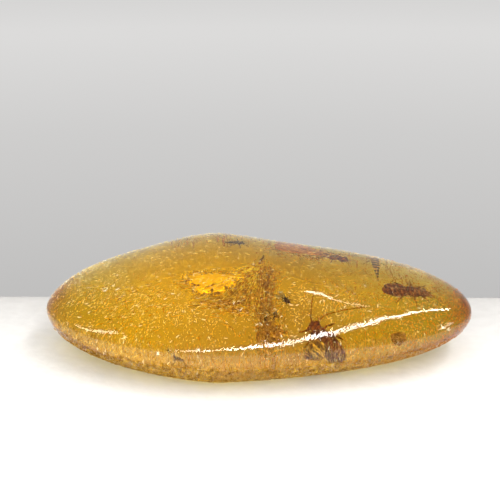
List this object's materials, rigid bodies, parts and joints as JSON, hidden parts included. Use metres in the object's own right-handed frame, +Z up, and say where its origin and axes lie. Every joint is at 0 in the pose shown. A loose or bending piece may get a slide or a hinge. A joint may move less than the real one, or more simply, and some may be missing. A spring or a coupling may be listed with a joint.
{
  "type": "insect in copal",
  "caption": "Polished egg-shaped pebble of clear golden copal, flat underneath, with insects, bark and leaf scraps sealed inside.",
  "frame": {"origin": "on the surface that the pebble rests on, under the middle of its length and width", "axes": "+X along the pebble towards its longer, narrower end, +Y to its back, +Z up"},
  "size_m": [0.075, 0.0454, 0.0188],
  "materials": {
    "copal": "clear golden resin, polished, with fine crazing at its surface",
    "dark_cuticle": "dark brown insect cuticle, slightly glossy",
    "red_cuticle": "reddish-brown insect cuticle, slightly glossy",
    "bark": "dark red-brown bark and frass, rough",
    "dry_leaf": "brown dry leaf, fibrous"
  },
  "bodies": {
    "root": {"copal_upper": "copal", "copal_lower": "copal", "long_horned_insect": "red_cuticle", "banded_fly": "dark_cuticle", "winged_termite": "red_cuticle", "gnat": "dark_cuticle", "small_fly_right": "dark_cuticle", "small_fly_left": "dark_cuticle", "beetle": "red_cuticle", "leg_pair": "dark_cuticle", "twig_sliver": "dark_cuticle", "frass_pellet": "bark", "bark_flake_back": "bark", "bark_flake_front": "bark", "leaf_shred": "dry_leaf"}
  },
  "joints": []
}
